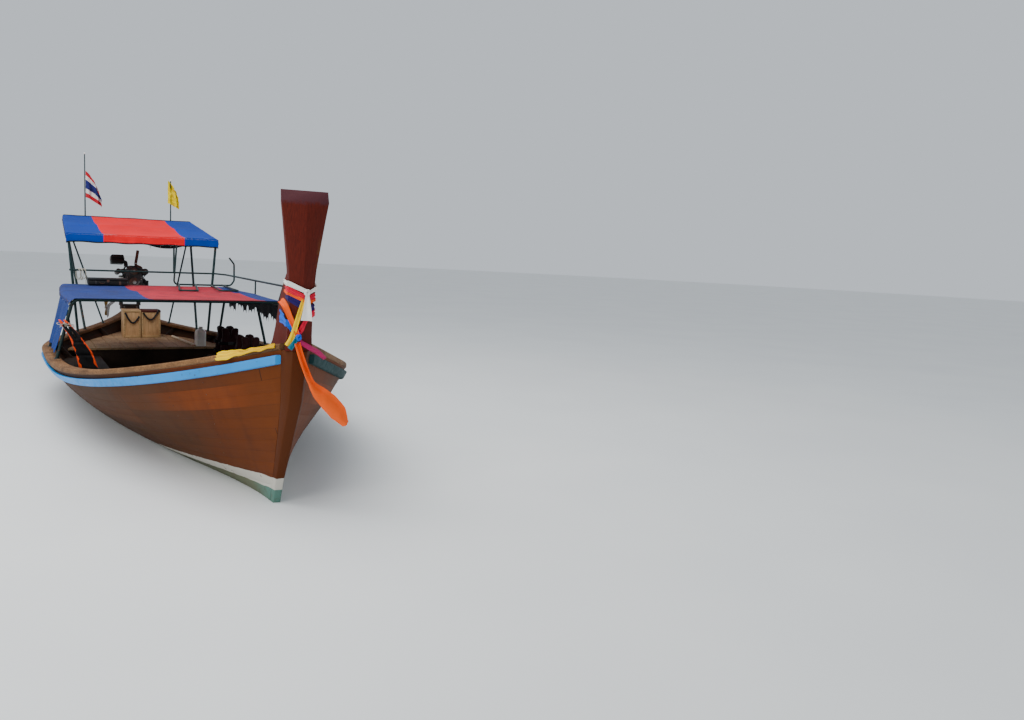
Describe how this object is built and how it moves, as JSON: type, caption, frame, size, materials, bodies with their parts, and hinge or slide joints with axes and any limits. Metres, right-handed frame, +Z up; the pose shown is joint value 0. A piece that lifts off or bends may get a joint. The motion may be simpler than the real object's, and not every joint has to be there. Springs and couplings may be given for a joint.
{
  "type": "longtail boat",
  "caption": "Open double-ended wooden passenger boat with a tall prow board, two striped canopies on pipe frames, and a diesel on a swivelling, tilting mount with a long tail shaft.",
  "frame": {"origin": "amidships on the centreline, at the waterline the hull floats on", "axes": "+X to the bow, +Y to port, +Z up"},
  "size_m": [12.6729, 2.6724, 3.33],
  "materials": {
    "planking": "oiled and worn, red-brown",
    "cap_rail_timber": "bare and worn",
    "strake_paint": "light blue paint, worn",
    "bottom_paint": "grey-green bottom paint",
    "prow_paint": "dark maroon stain, worn at the edges",
    "dark_timber": "dark and weathered",
    "deck_timber": "bare, sun-bleached",
    "plywood": "raw plywood",
    "painted_pipe": "dark teal paint",
    "canopy_canvas": "blue and red stripes",
    "navy_canvas": "navy",
    "maroon_jacket": "worn maroon cloth",
    "orange_jacket": "orange cloth",
    "can_plastic": "off-white",
    "flag_cloth": "striped red, white and blue",
    "yellow_flag_cloth": "plain yellow",
    "band_cloth": "bands of coloured cloth",
    "orange_satin": "orange satin",
    "yellow_satin": "yellow satin",
    "engine_iron": "black and oily",
    "dark_steel": "dark, part painted and rusted",
    "bronze": "worn bronze"
  },
  "bodies": {
    "hull": {"aft_frames": "dark_timber", "boarding_ladder": "painted_pipe", "engine_bed": "dark_timber", "floor_boards": "dark_timber", "fore_deck": "deck_timber", "fore_frames": "dark_timber", "forward_thwart": "dark_timber", "fuel_can": "can_plastic", "keel": "bottom_paint", "lower_canopy": "canopy_canvas", "lower_canopy_frame": "painted_pipe", "maroon_life_jacket_1": "maroon_jacket", "maroon_life_jacket_2": "maroon_jacket", "maroon_life_jacket_3": "maroon_jacket", "maroon_life_jacket_4": "maroon_jacket", "middle_frames": "dark_timber", "middle_thwart": "dark_timber", "orange_life_jacket": "orange_jacket", "orange_sash": "orange_satin", "port_battery_box": "plywood", "port_cap_rail": "cap_rail_timber", "port_flag_pole": "painted_pipe", "port_planking": "planking", "port_rub_strake_aft": "strake_paint", "port_rub_strake_fore": "strake_paint", "port_rub_strake_middle": "strake_paint", "port_side_bench": "dark_timber", "port_valance": "navy_canvas", "prow_band": "band_cloth", "prow_board": "prow_paint", "roof_locker": "dark_timber", "starboard_battery_box": "plywood", "starboard_cap_rail": "cap_rail_timber", "starboard_curtain": "canopy_canvas", "starboard_flag_pole": "painted_pipe", "starboard_planking": "planking", "starboard_rub_strake_aft": "strake_paint", "starboard_rub_strake_fore": "strake_paint", "starboard_rub_strake_middle": "strake_paint", "starboard_side_bench": "dark_timber", "stem": "planking", "stern_deck": "deck_timber", "stern_deck_riser": "dark_timber", "stern_post": "planking", "striped_flag": "flag_cloth", "upper_canopy": "canopy_canvas", "upper_canopy_frame": "painted_pipe", "yellow_flag": "yellow_flag_cloth", "yellow_sash": "yellow_satin"},
    "swivel": {"swivel_yoke": "dark_steel"},
    "engine_unit": {"engine_cradle": "dark_steel", "engine_block": "engine_iron", "air_cleaner": "engine_iron", "exhaust_stack": "engine_iron", "tiller": "dark_steel", "tail_tube": "dark_steel"},
    "propeller_body": {"propeller": "bronze"}
  },
  "joints": [
    {"name": "engine_swivel", "type": "hinge", "parent": "hull", "child": "swivel", "pos_m": [-4.3, 0, 0.8], "axis": [0, 0, 1], "range_deg": [-35, 35]},
    {"name": "engine_tilt", "type": "hinge", "parent": "swivel", "child": "engine_unit", "pos_m": [-4.3, 0, 0.9], "axis": [0, 1, 0], "range_deg": [-11, 10]},
    {"name": "propeller_spin", "type": "hinge", "parent": "engine_unit", "child": "propeller_body", "pos_m": [-7.83924, 0, 0.4801], "axis": [0.9863, 0, 0.165], "continuous": true}
  ]
}
